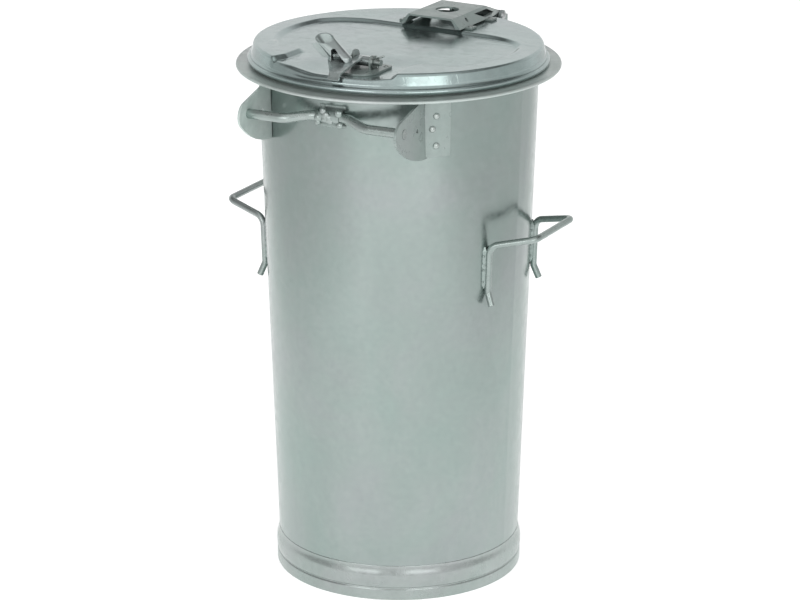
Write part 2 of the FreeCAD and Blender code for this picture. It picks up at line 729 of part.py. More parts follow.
def latch_bracket_rivet_shapes():
    """Rivets that fix the latch bracket to the sunk floor."""
    return [
        sheet_rivet(x, LATCH_RIVET_Y, LID_FLOOR_Z + PLATE, PLATE + SHEET)
        for x in LATCH_RIVET_X
    ]


def latch_pin():
    """Headed pin through the bracket's ears, drilled for the split pin."""
    pin = rod_x(LATCH_LEFT_EAR_X, LATCH_PIN_END_X, LATCH_PIN_Y, LATCH_PIN_Z, PIN_R)
    head_x = LATCH_LEFT_EAR_X - LATCH_PIN_HEAD_H
    head = rod_x(head_x, LATCH_LEFT_EAR_X, LATCH_PIN_Y, LATCH_PIN_Z, LATCH_PIN_HEAD_R)
    pin = pin.fuse(head)
    hole = Part.makeCylinder(SPLIT_PIN_HOLE_R, 20, Vector(SPLIT_PIN_X, LATCH_PIN_Y, LATCH_PIN_Z - 10))
    return pin.cut(hole)


def latch_washer():
    x0 = LATCH_RIGHT_EAR_X + PLATE
    ring = rod_x(x0, x0 + WASHER_THICKNESS, LATCH_PIN_Y, LATCH_PIN_Z, WASHER_R)
    return ring.cut(rod_x(x0 - 1, x0 + 3, LATCH_PIN_Y, LATCH_PIN_Z, PIN_R))


def latch_split_pin():
    """Split pin: eye below the latch pin, legs through it and spread apart above."""
    middle = Vector(SPLIT_PIN_X, LATCH_PIN_Y, LATCH_PIN_Z)
    eye_at = middle - Vector(0, 0, SPLIT_PIN_EYE_DROP)
    shank_at = middle - Vector(0, 0, SPLIT_PIN_SHANK_DROP)
    eye = Part.makeTorus(SPLIT_PIN_EYE_R, SPLIT_PIN_EYE_WIRE_R, eye_at, Vector(1, 0, 0))
    pin = eye.fuse(Part.makeCylinder(SPLIT_PIN_SHANK_R, SPLIT_PIN_SHANK_LENGTH, shank_at))
    fork = middle + Vector(0, 0, SPLIT_PIN_FORK_RISE)
    for lean in SPLIT_PIN_LEANS:
        along = Vector(*lean)
        leg = Part.makeCylinder(SPLIT_PIN_LEG_R, along.Length, fork, along)
        pin = pin.fuse(leg).fuse(Part.makeSphere(SPLIT_PIN_LEG_R, fork + along))
    return pin


# ------------------------------------------------------------------- latch

def tongue():
    """Bent plate from the hub out over the lid's edge, tapered on the left to the narrow nose."""
    band = side_plate(TONGUE_LEFT_X, TONGUE_RIGHT_X, outline_yz(TONGUE_TOP + TONGUE_UNDER))
    hub_left = LATCH_LEFT_EAR_X + PLATE + LATCH_SIDE_GAP
    clear_y = LATCH_PIN_Y - TONGUE_CLEARANCE
    bend_y = TONGUE_TOP[2][0]
    plan = on_z([
        (hub_left, LATCH_PIN_Y + 1),
        (hub_left, clear_y),
        (TONGUE_LEFT_X, clear_y),
        (TONGUE_LEFT_X, TONGUE_TOP[1][0]),
        (NOSE_LEFT_X, bend_y),
        (NOSE_LEFT_X, bend_y - 20),
        (TONGUE_RIGHT_X, bend_y - 20),
        (TONGUE_RIGHT_X, LATCH_PIN_Y + 1),
    ], LID_FLOOR_Z - 20)
    return band.common(plan.extrude(Vector(0, 0, 60)))


def latch_lever():
    """Hub on the latch pin, tongue over the lid's edge with a turned-down nose, and a heel."""
    hub_left = LATCH_LEFT_EAR_X + PLATE + LATCH_SIDE_GAP
    hub_right = LATCH_RIGHT_EAR_X - LATCH_SIDE_GAP
    hub = rod_x(hub_left, hub_right, LATCH_PIN_Y, LATCH_PIN_Z, LATCH_HUB_R)
    heel_z = LATCH_PIN_Z + HEEL_RISE
    heel_y = LATCH_PIN_Y + HEEL_REACH
    heel = slab(hub_left, hub_right, LATCH_PIN_Y, heel_y, heel_z, heel_z + PLATE)
    lever = hub.fuse([tongue(), heel])
    bore = rod_x(hub_left - 1, hub_right + 1, LATCH_PIN_Y, LATCH_PIN_Z, PIN_R + RUNNING_GAP)
    return lever.cut(bore).removeSplitter()


def horn_ring(centre, normal, radius_x, radius_y):
    """Elliptical outline square to a direction."""
    wire = Part.Wire([Part.Ellipse(Vector(0, 0, 0), radius_x, radius_y).toShape()])
    wire.Placement = FreeCAD.Placement(centre, Rotation(Vector(0, 0, 1), normal))
    return wire


def horn_cone(inset, over):
    """Upright skirt, then a cone to the round tip; inset and overlong where it is the hollow."""
    up = Vector(0, 0, 1)
    lean = Vector(*HORN_LEAN).normalize()
    foot = Vector(*HORN_FOOT)
    tip = Vector(*HORN_TIP)
    tip += (tip - foot).normalize() * over
    foot_x, foot_y = HORN_FOOT_RADII
    rings = [
        horn_ring(foot - up * over, up, foot_x - inset, foot_y - inset),
        horn_ring(foot + up * HORN_SKIRT, up, foot_x - inset, foot_y - inset),
        horn_ring(tip, lean, HORN_TIP_R - inset, HORN_TIP_R - inset - 0.01),
    ]
    return Part.makeLoft(rings, True, True)


def latch_horn():
    """Hollow horn of folded sheet: round tip, open triangular front, fin on its left side."""
    hollow = horn_cone(HORN_SHEET, 1.0)
    fin = Part.Face(Part.makePolygon([Vector(x, HORN_FIN_Y, z) for x, z in HORN_FIN]))
    fin = fin.extrude(Vector(0, -HORN_SHEET, 0))
    shell = horn_cone(0.0, 0.0).fuse(fin).cut(hollow)
    outward = Vector(math.sin(HORN_FACING), -math.cos(HORN_FACING), 0)
    across = Vector(math.cos(HORN_FACING), math.sin(HORN_FACING), 0)
    foot = Vector(HORN_FOOT[0], HORN_FOOT[1], 0)
    corners = [foot + across * s + Vector(0, 0, z) for s, z in HORN_MOUTH]
    mouth = Part.Face(Part.makePolygon(corners + corners[:1])).extrude(outward * 30)
    return shell.cut([mouth, latch_lever()])


def together(shapes):
    """Separate solids kept in one shape."""
    return Part.makeCompound(shapes)


def save(name, shape):
    shape.exportStep(os.path.join("parts", name + ".step"))


def main():
    os.makedirs("parts", exist_ok=True)
    right_rivets = [
        turned_about_z(cheek_rivet(azimuth, z), BAR_TURN) for azimuth, z in CHEEK_RIVETS
    ]
    left_rivets = [
        turned_about_z(mirrored_x(cheek_rivet(azimuth, z)), BAR_TURN)
        for azimuth, z in CHEEK_RIVETS
    ]
    bracket_rivets = hinge_bracket_rivet_shapes()
    plate_rivets = hinge_plate_rivet_shapes()
    latch_rivets = latch_bracket_rivet_shapes()

    save("body_shell", body_shell(right_rivets + left_rivets))
    save("base_disc", base_disc())
    save("foot_ring", foot_ring())
    save("rim_collar", rim_collar(bracket_rivets))
    right_handle = side_handle(HANDLE_RIGHT_BEND_Z)
    left_handle = mirrored_x(side_handle(HANDLE_LEFT_BEND_Z))
    save("side_handle_right", turned_about_z(right_handle, HANDLE_TURN))
    save("side_handle_left", turned_about_z(left_handle, HANDLE_TURN))
    save("pickup_bar", pickup_bar())
    save("bar_saddle", bar_saddle())
    save("bar_cheek_right", turned_about_z(bar_cheek(), BAR_TURN))
    save("bar_cheek_left", turned_about_z(mirrored_x(bar_cheek()), BAR_TURN))
    save("cheek_rivets_right", together(right_rivets))
    save("cheek_rivets_left", together(left_rivets))
    save("hinge_bracket", hinge_bracket().cut(bracket_rivets))
    save("hinge_bracket_rivets", together(bracket_rivets))
    save("hinge_pin", hinge_pin())

    save("lid_panel", lid_panel(plate_rivets + latch_rivets))
    save("hinge_plate", hinge_plate(plate_rivets))
    save("hinge_plate_rivets", together(plate_rivets))
    save("latch_bracket", latch_bracket(latch_rivets))
    save("latch_bracket_rivets", together(latch_rivets))
    save("latch_pin", latch_pin())
    save("latch_washer", latch_washer())
    save("latch_split_pin", latch_split_pin())

    save("latch_lever", latch_lever())
    save("latch_horn", latch_horn())


main()
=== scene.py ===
"""Studio scene of a round galvanised steel bin with a hinged lid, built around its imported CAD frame.

Metres. The origin is the centre of the foot ring on the floor, +Z is up, the latch and the
pick-up bar are at the front (-Y), the lid hinge is at the back (+Y).
"""

import json
import math
import random

import bmesh
import bpy
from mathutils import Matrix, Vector, noise

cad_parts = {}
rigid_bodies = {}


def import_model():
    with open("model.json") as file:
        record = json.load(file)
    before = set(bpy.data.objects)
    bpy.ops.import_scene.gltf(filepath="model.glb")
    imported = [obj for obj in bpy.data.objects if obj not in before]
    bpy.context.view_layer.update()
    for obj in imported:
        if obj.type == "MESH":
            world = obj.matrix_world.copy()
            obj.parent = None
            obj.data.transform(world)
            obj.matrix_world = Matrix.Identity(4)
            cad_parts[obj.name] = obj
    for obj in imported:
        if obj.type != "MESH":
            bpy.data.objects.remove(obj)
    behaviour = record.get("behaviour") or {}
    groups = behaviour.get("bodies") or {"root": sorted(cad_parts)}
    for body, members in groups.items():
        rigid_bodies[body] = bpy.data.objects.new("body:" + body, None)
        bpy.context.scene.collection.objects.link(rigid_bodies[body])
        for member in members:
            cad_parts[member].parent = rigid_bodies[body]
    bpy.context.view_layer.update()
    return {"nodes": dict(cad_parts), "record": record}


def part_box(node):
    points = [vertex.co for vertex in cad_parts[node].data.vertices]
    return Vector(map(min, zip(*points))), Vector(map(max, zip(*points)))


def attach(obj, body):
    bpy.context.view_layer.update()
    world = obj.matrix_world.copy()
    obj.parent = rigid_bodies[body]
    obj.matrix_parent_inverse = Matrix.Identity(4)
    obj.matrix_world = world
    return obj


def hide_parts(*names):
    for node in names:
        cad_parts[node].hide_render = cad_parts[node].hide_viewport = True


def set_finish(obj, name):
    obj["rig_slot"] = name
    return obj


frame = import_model()

MM = 0.001

# ------------------------------------------------------------------ places taken from the frame

LID_LOW, LID_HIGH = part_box("lid_panel")
BRACKET_LOW, BRACKET_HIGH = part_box("latch_bracket")
COLLAR_LOW, COLLAR_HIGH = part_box("rim_collar")
FOOT_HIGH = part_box("foot_ring")[1]
SADDLE_LOW, SADDLE_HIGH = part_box("bar_saddle")

# Conical wall: its outer radius at the floor, and how much that grows per metre of height
WALL_FOOT_R = 152.5 * MM
WALL_TAPER = 0.034

# --------------------------------------------------------------------------- shapes in general

def wall_r(z):
    """Outer radius of the wall at height z."""
    return WALL_FOOT_R + WALL_TAPER * z


def wall_point(azimuth, z, out=0.0):
    """Point on the wall at an azimuth from +X towards +Y, with its outward direction."""
    outward = Vector((math.cos(azimuth), math.sin(azimuth), -WALL_TAPER)).normalized()
    r = wall_r(z) + out
    return Vector((r * math.cos(azimuth), r * math.sin(azimuth), z)), outward


def smooth(t):
    """Smooth step from 0 to 1."""
    t = min(max(t, 0.0), 1.0)
    return t * t * (3 - 2 * t)


def rounded_max(a, b, radius):
    """Intersection of two signed distances with a round corner."""
    outside = math.hypot(max(a + radius, 0.0), max(b + radius, 0.0))
    return min(-radius, max(a, b)) + outside


def rounded_min(a, b, radius):
    """Union of two signed distances with a round inner corner."""
    return -rounded_max(-a, -b, radius)


def arc_points(r, z, radius, start, stop, steps):
    """Points of an arc, its angles in degrees from outward towards up."""
    points = []
    for i in range(steps + 1):
        a = math.radians(start + (stop - start) * i / steps)
        points.append((r + radius * math.cos(a), z + radius * math.sin(a)))
    return points


def shifted(points, r, z):
    """The same section points, moved out by r and up by z."""
    return [(r + out, z + up) for out, up in points]


def smooth_object(name, mesh):
    """Object in the scene for a finished mesh, with smooth faces."""
    mesh.polygons.foreach_set("use_smooth", [True] * len(mesh.polygons))
    obj = bpy.data.objects.new(name, mesh)
    bpy.context.scene.collection.objects.link(obj)
    return obj


def new_mesh_object(name, verts, faces):
    mesh = bpy.data.meshes.new(name)
    mesh.from_pydata(verts, [], faces)
    mesh.update()
    return smooth_object(name, mesh)


def lathe(name, outline, turns):
    """Closed ring of revolution about +Z through (radius, z) points in millimetres."""
    verts, faces = [], []
    count = len(outline)
    for k in range(turns):
        a = 2 * math.pi * k / turns
        verts += [(r * MM * math.cos(a), r * MM * math.sin(a), z * MM) for r, z in outline]
    for k in range(turns):
        here, there = k * count, ((k + 1) % turns) * count
        for i in range(count):
            j = (i + 1) % count
            faces.append((here + i, here + j, there + j, there + i))
    obj = new_mesh_object(name, verts, faces)
    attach(obj, "bin")
    return obj


def closed_sweep(name, sections):
    """Closed solid through rings of points, with flat ends."""
    width = len(sections[0])
    verts = [point for section in sections for point in section]
    faces = []
    for i in range(len(sections) - 1):
        for j in range(width):
            a, b = i * width + j, i * width + (j + 1) % width
            faces.append((a, b, b + width, a + width))
    faces.append(tuple(reversed(range(width))))
    faces.append(tuple(range(len(verts) - width, len(verts))))
    obj = new_mesh_object(name, verts, faces)
    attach(obj, "bin")
    return obj


# ------------------------------------------------------------------------------------------- lid

SHEET = 1.2 * MM
LID_TOP_Z = LID_HIGH.z
LID_RIM_Z = LID_TOP_Z - 0.35 * MM
LID_EDGE_R = 180.2 * MM
LID_SKIRT_R = 184.4 * MM
LID_BEAD_R = 3.4 * MM
LID_BEAD_Z = LID_LOW.z + LID_BEAD_R
LID_FLOOR_DEPTH = 4.75 * MM
SKIRT_FOOT_RISE = 6.2 * MM
SKIRT_STEPS = 6

# Arcs in the lid's section: start and stop in degrees, and steps
CORNER_ARC = (80, 10, 7)
BEAD_ARC = (118, -188, 20)

# Corner between the top and the skirt: all round, and at the left and right of the channel's mouth
RIM_CORNER_R = 4.4 * MM
MOUTH_LEFT_CORNER_R = 6.5 * MM
MOUTH_RIGHT_CORNER_R = 3.2 * MM
MOUTH_BLEND = 60.0 * MM

# Outline of the sunk floor, and of the channel that runs from it to the front
RECESS_R = 151.0 * MM
RECESS_BACK_Y = 80.0 * MM
RECESS_FRONT_Y = -91.0 * MM
RECESS_BACK_CORNER = 38.0 * MM
RECESS_FRONT_CORNER = 14.0 * MM
CHANNEL_OVERLAP = 30.0 * MM
CHANNEL_HALF = 78.0 * MM
CHANNEL_MOUTH_HALF = 98.0 * MM
CHANNEL_FLARE_Y = -138.0 * MM
CHANNEL_MOUTH_Y = -200.0 * MM
PRESSING_WIDTH = 8.0 * MM

# The lid is sprung up towards the front, and its floor rises towards the back
RIM_RISE_START_Y = 90.0 * MM
RIM_RISE = 0.0148
FLOOR_RISE_START_Y = -95.0 * MM
FLOOR_RISE = 0.007
BRACKET_SPREAD = 48.0 * MM

# Faint unevenness of the sheet, and the layer of noise it is read from
LID_WAVE_HEIGHT = 0.3 * MM
LID_WAVE_SCALE = 14.0
LID_WAVE_LAYER = 0.3

LID_TURNS = 540
LID_RINGS = 120


def recess_distance(x, y):
    """Signed distance from the outline of the sunk floor, negative inside it."""
    disc = math.hypot(x, y) - RECESS_R
    middle = rounded_max(disc, y - RECESS_BACK_Y, RECESS_BACK_CORNER)
    middle = rounded_max(middle, RECESS_FRONT_Y - y, RECESS_FRONT_CORNER)
    flare = (CHANNEL_FLARE_Y - y) / (CHANNEL_FLARE_Y - CHANNEL_MOUTH_Y)
    flare = min(max(flare, 0.0), 1.0)
    half = CHANNEL_HALF + (CHANNEL_MOUTH_HALF - CHANNEL_HALF) * flare
    channel_back = y - (RECESS_FRONT_Y + CHANNEL_OVERLAP)
    channel = rounded_max(abs(x) - half, channel_back, RECESS_FRONT_CORNER)
    return rounded_min(middle, channel, RECESS_FRONT_CORNER)


def spring(y):
    """How far the pressing stands up towards the front, where the lid is sprung."""
    return RIM_RISE * max(RIM_RISE_START_Y - y, 0.0)


def off_bracket(x, y):
    """0 under the latch bracket, which holds the floor down, rising to 1 all round it."""
    dx = max(BRACKET_LOW.x - x, x - BRACKET_HIGH.x, 0.0)
    dy = max(BRACKET_LOW.y - y, y - BRACKET_HIGH.y, 0.0)
    return smooth(math.hypot(dx, dy) / BRACKET_SPREAD)


def lid_inside(x, y, grow=0.0):
    """0 on the rim, 1 on the sunk floor."""
    return smooth(0.5 - (recess_distance(x, y) - grow) / PRESSING_WIDTH)


def lid_height(x, y, grow=0.0):
    """Height of the lid's top sheet, with the sunk floor's edge grown sideways."""
    waves = noise.noise(Vector((x, y, LID_WAVE_LAYER)) * LID_WAVE_SCALE) * LID_WAVE_HEIGHT
    rim = LID_RIM_Z + spring(y) + waves
    floor = LID_RIM_Z - LID_FLOOR_DEPTH
    floor += FLOOR_RISE * max(y - FLOOR_RISE_START_Y, 0.0) + spring(y) * off_bracket(x, y)
    return rim + (floor - rim) * lid_inside(x, y, grow)


def lid_profile(angle):
    """Closed outline of the pressed sheet at one angle: (radius, z) points from the middle out."""
    ux, uy = math.cos(angle), math.sin(angle)
    at_edge = lid_inside(LID_EDGE_R * ux, LID_EDGE_R * uy)
    to_left = smooth(0.5 - LID_EDGE_R * ux / MOUTH_BLEND)
    mouth_r = MOUTH_RIGHT_CORNER_R + (MOUTH_LEFT_CORNER_R - MOUTH_RIGHT_CORNER_R) * to_left
    corner_r = RIM_CORNER_R + (mouth_r - RIM_CORNER_R) * at_edge
    bead_z = LID_BEAD_Z + spring(LID_EDGE_R * uy)
    slope = (LID_SKIRT_R - LID_EDGE_R) / (LID_TOP_Z - LID_BEAD_Z)
    edge_r = LID_EDGE_R + slope * LID_FLOOR_DEPTH * at_edge
    last_r = edge_r - corner_r
    radii = [last_r * (i / LID_RINGS) for i in range(1, LID_RINGS + 1)]
    top = [(r, lid_height(r * ux, r * uy)) for r in radii]
    corner_z = top[-1][1] - corner_r
    corner = arc_points(last_r, corner_z, corner_r, *CORNER_ARC)
    skirt_z = bead_z + SKIRT_FOOT_RISE
    skirt_r = LID_EDGE_R + slope * (LID_TOP_Z - LID_BEAD_Z - SKIRT_FOOT_RISE)
    start_r, start_z = corner[-1]
    skirt = []
    for i in range(1, SKIRT_STEPS):
        t = i / SKIRT_STEPS
        skirt.append((start_r + (skirt_r - start_r) * t, start_z + (skirt_z - start_z) * t))
    bead = arc_points(LID_SKIRT_R, bead_z, LID_BEAD_R, *BEAD_ARC)
    inner_skirt = [(r - SHEET, z) for r, z in reversed(skirt)]
    inner_corner = arc_points(last_r, corner_z, corner_r - SHEET, *CORNER_ARC)
    inner_corner.reverse()
    under = [(r, lid_height(r * ux, r * uy, SHEET) - SHEET) for r in reversed(radii)]
    return top + corner + skirt + bead + inner_skirt + inner_corner + under


def build_lid():
    """Pressed lid with rounded pressing edges, skirt and rolled bead."""
    verts, faces = [], []
    for k in range(LID_TURNS):
        angle = 2 * math.pi * k / LID_TURNS
        verts += [(r * math.cos(angle), r * math.sin(angle), z) for r, z in lid_profile(angle)]
    count = len(verts) // LID_TURNS
    starts = [(k * count, ((k + 1) % LID_TURNS) * count) for k in range(LID_TURNS)]
    for a, b in starts:
        for i in range(count - 1):
            faces.append((a + i, a + i + 1, b + i + 1, b + i))
    top, bottom = len(verts), len(verts) + 1
    verts += [(0, 0, lid_height(0, 0)), (0, 0, lid_height(0, 0, SHEET) - SHEET)]
    for a, b in starts:
        faces.append((top, a, b))
        faces.append((a + count - 1, bottom, b + count - 1))
    obj = new_mesh_object("lid_pressing", verts, faces)
    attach(obj, "lid")
    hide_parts("lid_panel")
    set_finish(obj, "lid")


# -------------------------------------------------------- collar and foot ring, in millimetres

RING_TURNS = 360
WALL_BITE = 0.2

# Collar: its flat lies a little below its rolled edge. Points are (out, up) from the flat's ends
COLLAR_FLAT_DROP = 0.2
COLLAR_WELD = ((0.0, 2.2), (1.1, 0.9), (2.6, 0.0))
COLLAR_FLAT = ((-6.0, -0.1), (-3.6, -0.1))
COLLAR_FOLD = ((-3.6, -2.0),)
COLLAR_ROOT = ((2.4, -2.0), (0.0, -3.4))
COLLAR_ROLL_R = 1.9
COLLAR_ROLL_ARC = (100, -110, 14)

# Foot ring, from the floor up: the lip as (radius, height), the band and the crown as (out from the
# band's radius or the crown's, height), then the shoulder and the inside
FOOT_INNER_R = 153.8
FOOT_LIP = ((FOOT_INNER_R, 0.2), (154.2, 0.0), (156.2, 0.0))
FOOT_LIP_R = 0.8
FOOT_LIP_ARC = (-80, 0, 4)
FOOT_BAND_R = 157.0
FOOT_BAND = (
    (0.0, 3.0), (0.0, 8.0), (-0.05, 12.0), (-0.2, 13.4), (-0.6, 14.4), (-1.15, 15.0), (-1.3, 15.6),
    (-1.1, 16.3), (-0.5, 17.0), (0.1, 18.2))
FOOT_CROWN = ((-0.2, 20.0), (0.0, 23.0), (0.0, 27.0), (-0.05, 30.0))
SHOULDER_HEIGHT = 15.0
SHOULDER_STEPS = 16
SHOULDER_PROUD = 0.3
SHOULDER_WALL_Z = 46.0
FOOT_INSIDE_TOP_Z = 45.4
FOOT_INSIDE_LOW_Z = 14.0
FOOT_INSIDE_FOOT_Z = 10.0


def build_collar():
    """Flat collar with its outer edge rolled over, and a small weld where it meets the wall."""
    flat_z = COLLAR_HIGH.z / MM - COLLAR_FLAT_DROP
    outer = COLLAR_HIGH.x / MM
    inner = wall_r(COLLAR_LOW.z) / MM - WALL_BITE
    roll_z = flat_z - COLLAR_ROLL_R + COLLAR_FLAT_DROP
    outline = shifted(COLLAR_WELD, inner, flat_z) + shifted(COLLAR_FLAT, outer, flat_z)
    outline += arc_points(outer - COLLAR_ROLL_R, roll_z, COLLAR_ROLL_R, *COLLAR_ROLL_ARC)
    outline += shifted(COLLAR_FOLD, outer, flat_z) + shifted(COLLAR_ROOT, inner, flat_z)
    obj = lathe("collar_ring", outline, RING_TURNS)
    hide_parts("rim_collar")
    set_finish(obj, "collar")


def build_foot_ring():
    """Hoop round the foot: rolled lip, straight band, groove, and a shoulder that dies into the wall."""
    lip_r = FOOT_LIP[-1][0]
    outline = list(FOOT_LIP) + arc_points(lip_r, FOOT_LIP_R, FOOT_LIP_R, *FOOT_LIP_ARC)
    outline += shifted(FOOT_BAND, FOOT_BAND_R, 0.0)
    outline += shifted(FOOT_CROWN, FOOT_HIGH.x / MM, 0.0)
    start_r, start_z = outline[-1]
    drop = start_r - SHOULDER_PROUD - wall_r(SHOULDER_WALL_Z * MM) / MM
    for i in range(1, SHOULDER_STEPS + 1):
        t = i / SHOULDER_STEPS
        outline.append((start_r - drop * smooth(t), start_z + SHOULDER_HEIGHT * t))
    outline.append((wall_r(FOOT_INSIDE_TOP_Z * MM) / MM - SHOULDER_PROUD, FOOT_INSIDE_TOP_Z))
    outline.append((wall_r(FOOT_INSIDE_LOW_Z * MM) / MM, FOOT_INSIDE_LOW_Z))
    outline.append((FOOT_INNER_R, FOOT_INSIDE_FOOT_Z))
    obj = lathe("foot_hoop", outline, RING_TURNS)
    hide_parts("foot_ring")
    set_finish(obj, "foot_ring")


# ----------------------------------------------------------------------------------------- welds

# One weld drop: how much its radius varies, its flatness, and its lumps
DROP_SIZES = (0.8, 1.2)
DROP_FLATNESS = 0.62
DROP_LUMP = 0.16
DROP_LUMP_SCALE = 1.3

# Side handles, turned a little from the X axis: (label, azimuth, height where the tails bend).
# A handle's two tails lie HANDLE_ROOT to either side of its azimuth
HANDLE_TURN = math.radians(2.0)
HANDLE_ROOT = math.radians(22.0)
TAIL_LENGTH = 59.0 * MM
HANDLES = (("right", HANDLE_TURN, 458.0 * MM), ("left", HANDLE_TURN + math.pi, 450.0 * MM))

# Fillet beside a tail, in millimetres: (sideways from the rod's axis, out from the wall).
# Its ends fade over a ninth of its length, to END_WIDTH and END_HEIGHT of the full section
FILLET_SECTION = ((3.2, 4.6), (4.3, 2.7), (4.7, 1.4), (5.6, 0.65), (6.8, 0.05), (6.6, -0.5), (3.2, -0.5))
FILLET_ROD_SIDE = 3.2
FILLET_STEPS = 60
FILLET_TOP_GAP = 1.0 * MM
FILLET_FOOT_GAP = 4.0 * MM
FILLET_FADE = 9
FILLET_LUMP = 0.34
FILLET_LUMP_STEP = 0.23
FILLET_LUMP_LAYER = 2
FILLET_END_WIDTH = 0.35
FILLET_END_HEIGHT = 0.3
FILLET_LUMP_LIFT = 0.15

WELD_SEEDS = {
    ("right", "front"): 50, ("right", "back"): 47, ("left", "front"): 43, ("left", "back"): 40,
}

# Weld spots on a fillet
SPOT_DROPS = (13.0 * MM, 31.0 * MM, 46.0 * MM)
SPOT_SIDE = 5.6
SPOT_OUT = 1.0 * MM
SPOT_R = 1.7 * MM
SPOT_SEED_STEP = 50

# Upright seam of the wall, in millimetres: (sideways, out from the wall)
SEAM_AZIMUTH = math.radians(132.0)
SEAM_SECTION = (
    (-5.0, -0.15), (-3.0, 0.10), (-1.6, 0.60), (0.0, 0.85), (1.6, 0.60), (3.0, 0.10), (5.0, -0.15))
SEAM_ROOT = -0.6 * MM
SEAM_STEPS = 300
SEAM_FOOT_Z = 46.0 * MM
SEAM_COLLAR_GAP = 1.0 * MM
SEAM_RIPPLE = 0.2
SEAM_RIPPLE_STEP = 2.1
SEAM_LUMP = 0.3
SEAM_LUMP_STEP = 0.35
SEAM_LUMP_LAYER = 5

# Saddle: a bead along its top and its bottom edge, and drops spread over its face
SADDLE_BEAD_DROPS = 13
SADDLE_BEAD_PITCH = 2.5
SADDLE_BEAD_RISE = 11.6
SADDLE_BEAD_OUT = 0.1 * MM
SADDLE_BEAD_R = 2.8 * MM
SADDLE_BEAD_SEED = 40
SADDLE_FACE_DROPS = 12
SADDLE_FACE_HALF_WIDTH = 15.0
SADDLE_FACE_HALF_HEIGHT = 8.5
SADDLE_FACE_SINK = 2.3 * MM
SADDLE_FACE_R = 4.6 * MM
SADDLE_FACE_SEED = 46
SADDLE_FACE_DRAW = 47


def bead_chain(name, points, radius, seed):
    """Lumpy weld bead: overlapping flattened drops along a line of (point, outward) pairs."""
    rng = random.Random(seed)
    work = bmesh.new()
    for point, outward in points:
        size = radius * rng.uniform(*DROP_SIZES)
        before = len(work.verts)
        bmesh.ops.create_icosphere(work, subdivisions=2, radius=size)
        work.verts.ensure_lookup_table()
        spin = Vector((0, 0, 1)).rotation_difference(outward).to_matrix()
        for v in work.verts[before:]:
            flat = Vector((v.co.x, v.co.y, v.co.z * DROP_FLATNESS))
            place = v.co / size * DROP_LUMP_SCALE + Vector((seed, before, 0))
            v.co = point + spin @ (flat * (1 + DROP_LUMP * noise.noise(place)))
    mesh = bpy.data.meshes.new(name)
    work.to_mesh(mesh)
    work.free()
    obj = smooth_object(name, mesh)
    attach(obj, "bin")
    return obj


def weld_fillet(name, root, side, bend_z, seed):
    """Concave weld down one flank of a handle tail, from the rod to the wall."""
    first, last = bend_z - FILLET_TOP_GAP, bend_z - TAIL_LENGTH + FILLET_FOOT_GAP
    sections = []
    for i in range(FILLET_STEPS + 1):
        t = i / FILLET_STEPS
        z = first + (last - first) * t
        fade = smooth(t * FILLET_FADE) * smooth((1 - t) * FILLET_FADE)
        lump = 1 + FILLET_LUMP * noise.noise(Vector((i * FILLET_LUMP_STEP, seed, FILLET_LUMP_LAYER)))
        width = lump * (FILLET_END_WIDTH + (1 - FILLET_END_WIDTH) * fade)
        height = FILLET_END_HEIGHT + (1 - FILLET_END_HEIGHT) * fade
        height *= 1 - FILLET_LUMP_LIFT + FILLET_LUMP_LIFT * lump
        ring = []
        for across, out in FILLET_SECTION:
            reach = FILLET_ROD_SIDE + (across - FILLET_ROD_SIDE) * width
            lift = out if out < 0 else out * height
            ring.append(wall_point(root + side * reach * MM / wall_r(z), z, lift * MM)[0])
        sections.append(ring)
    return closed_sweep(name, sections)


def build_handle_welds():
    """A weld down each side of each handle tail, where it lies on the wall, with spots on it."""
    for label, middle, bend_z in HANDLES:
        for end, root in (("front", middle - HANDLE_ROOT), ("back", middle + HANDLE_ROOT)):
            for flank, side in (("a", -1), ("b", 1)):
                tag = "%s_%s_%s" % (label, end, flank)
                seed = WELD_SEEDS[label, end] + side
                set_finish(weld_fillet("weld_" + tag, root, side, bend_z, seed), "wall")
                points = []
                for drop in SPOT_DROPS:
                    z = bend_z - drop
                    points.append(wall_point(root + side * SPOT_SIDE * MM / wall_r(z), z, SPOT_OUT))
                spots = bead_chain("weld_spots_" + tag, points, SPOT_R, seed + SPOT_SEED_STEP)
                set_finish(spots, "rod")


def build_back_seam():
    """Flattened weld of the wall's upright joint, at the back."""
    low, high = SEAM_FOOT_Z, COLLAR_LOW.z - SEAM_COLLAR_GAP
    sections = []
    for i in range(SEAM_STEPS):
        z = low + (high - low) * i / (SEAM_STEPS - 1)
        lump = noise.noise(Vector((i * SEAM_LUMP_STEP, 0, SEAM_LUMP_LAYER)))
        ripple = 1 + SEAM_RIPPLE * math.sin(i * SEAM_RIPPLE_STEP) + SEAM_LUMP * lump
        ring = []
        for side, height in SEAM_SECTION:
            azimuth = SEAM_AZIMUTH + side * MM / wall_r(z)
            lift = height * ripple if height > 0 else height
            ring.append(wall_point(azimuth, z, lift * MM)[0])
        ring.append(wall_point(SEAM_AZIMUTH, z, SEAM_ROOT)[0])
        sections.append(ring)
    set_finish(closed_sweep("wall_seam_weld", sections), "wall")


